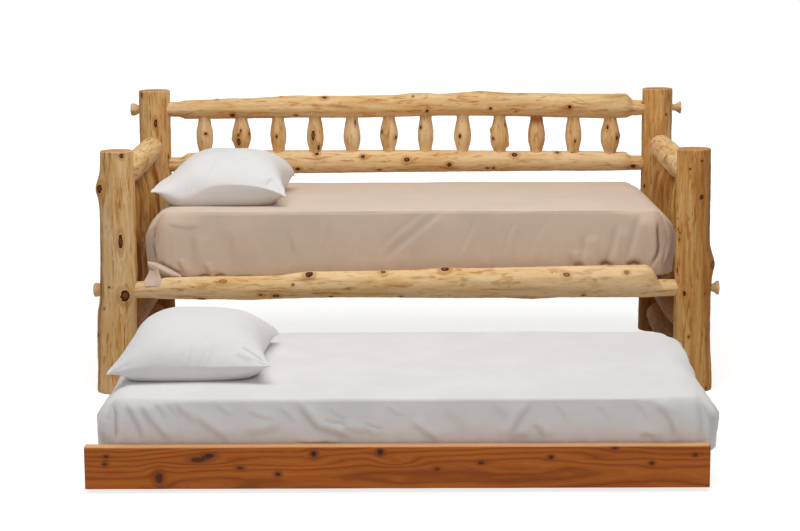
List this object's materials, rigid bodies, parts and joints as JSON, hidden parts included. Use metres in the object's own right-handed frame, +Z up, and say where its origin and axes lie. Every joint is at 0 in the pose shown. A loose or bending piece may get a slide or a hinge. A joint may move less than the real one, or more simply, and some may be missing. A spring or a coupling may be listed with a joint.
{
  "type": "trundle daybed",
  "caption": "Peeled-log daybed with a spindle back, log arms and a side rail, over a low trundle on casters that rolls out in front; both beds dressed.",
  "frame": {"origin": "on the floor, under the middle of the outline with the trundle pulled out", "axes": "+X to the right as seen from the front, +Y to the back of the daybed, +Z up"},
  "size_m": [2.23, 2.4618, 0.992],
  "materials": {
    "cedar_log": "hand-peeled log under clear satin varnish",
    "cedar_board": "planed red cedar heartwood under clear satin varnish",
    "sawn_pine": "planed, unfinished softwood",
    "turned_knob": "whittled and varnished",
    "bolt_steel": "zinc-plated",
    "caster_steel": "zinc-plated pressed sheet",
    "wheel_rubber": "moulded, slightly worn",
    "tan_sheet": "plain-weave cotton fitted sheet",
    "white_sheet": "plain-weave cotton fitted sheet",
    "pillow_cotton": "plain-weave cotton pillowcase"
  },
  "bodies": {
    "daybed": {"front_left_post": "cedar_log", "front_right_post": "cedar_log", "rear_left_post": "cedar_log", "rear_right_post": "cedar_log", "front_rail": "cedar_log", "rear_rail": "cedar_log", "back_top_rail": "cedar_log", "back_lower_rail": "cedar_log", "back_spindle_1": "cedar_log", "back_spindle_2": "cedar_log", "back_spindle_3": "cedar_log", "back_spindle_4": "cedar_log", "back_spindle_5": "cedar_log", "back_spindle_6": "cedar_log", "back_spindle_7": "cedar_log", "back_spindle_8": "cedar_log", "back_spindle_9": "cedar_log", "back_spindle_10": "cedar_log", "back_spindle_11": "cedar_log", "back_spindle_12": "cedar_log", "left_arm_rail": "cedar_log", "right_arm_rail": "cedar_log", "left_mid_rail": "cedar_log", "right_mid_rail": "cedar_log", "left_bottom_rail": "cedar_log", "right_bottom_rail": "cedar_log", "left_arm_spindle_1": "cedar_log", "left_arm_spindle_2": "cedar_log", "left_arm_spindle_3": "cedar_log", "left_arm_spindle_4": "cedar_log", "left_arm_spindle_5": "cedar_log", "right_arm_spindle_1": "cedar_log", "right_arm_spindle_2": "cedar_log", "right_arm_spindle_3": "cedar_log", "right_arm_spindle_4": "cedar_log", "right_arm_spindle_5": "cedar_log", "bolt_knobs": "turned_knob", "rail_bolts": "bolt_steel", "front_cleat": "sawn_pine", "rear_cleat": "sawn_pine", "mattress_slats": "sawn_pine", "daybed_mattress": "tan_sheet", "daybed_pillow": "pillow_cotton"},
    "trundle": {"trundle_front_board": "cedar_board", "trundle_rear_board": "sawn_pine", "trundle_left_side": "sawn_pine", "trundle_right_side": "sawn_pine", "trundle_front_cleat": "sawn_pine", "trundle_rear_cleat": "sawn_pine", "trundle_centre_beam": "sawn_pine", "trundle_slats": "sawn_pine", "trundle_corner_blocks": "sawn_pine", "caster_forks": "caster_steel", "caster_axles": "caster_steel", "trundle_mattress": "white_sheet", "trundle_pillow": "pillow_cotton"},
    "caster_wheel_front_left": {"caster_wheel_front_left": "wheel_rubber"},
    "caster_wheel_rear_left": {"caster_wheel_rear_left": "wheel_rubber"},
    "caster_wheel_front_right": {"caster_wheel_front_right": "wheel_rubber"},
    "caster_wheel_rear_right": {"caster_wheel_rear_right": "wheel_rubber"}
  },
  "joints": [
    {"name": "trundle_slide", "type": "slide", "parent": "daybed", "child": "trundle", "axis": [0, 1, 0], "range_m": [0, 1.257], "deforming": ["trundle_pillow"]},
    {"name": "wheel_spin_front_left", "type": "hinge", "parent": "trundle", "child": "caster_wheel_front_left", "pos_m": [-0.869, -1.12088, 0.025], "axis": [1, 0, 0], "continuous": true},
    {"name": "wheel_spin_rear_left", "type": "hinge", "parent": "trundle", "child": "caster_wheel_rear_left", "pos_m": [-0.869, -0.29989, 0.025], "axis": [1, 0, 0], "continuous": true},
    {"name": "wheel_spin_front_right", "type": "hinge", "parent": "trundle", "child": "caster_wheel_front_right", "pos_m": [0.815, -1.12088, 0.025], "axis": [1, 0, 0], "continuous": true},
    {"name": "wheel_spin_rear_right", "type": "hinge", "parent": "trundle", "child": "caster_wheel_rear_right", "pos_m": [0.815, -0.29989, 0.025], "axis": [1, 0, 0], "continuous": true}
  ],
  "couplings": [
    {"joint": "wheel_spin_front_left", "follows": "trundle_slide", "rad_per_m": -40},
    {"joint": "wheel_spin_rear_left", "follows": "trundle_slide", "rad_per_m": -40},
    {"joint": "wheel_spin_front_right", "follows": "trundle_slide", "rad_per_m": -40},
    {"joint": "wheel_spin_rear_right", "follows": "trundle_slide", "rad_per_m": -40}
  ]
}
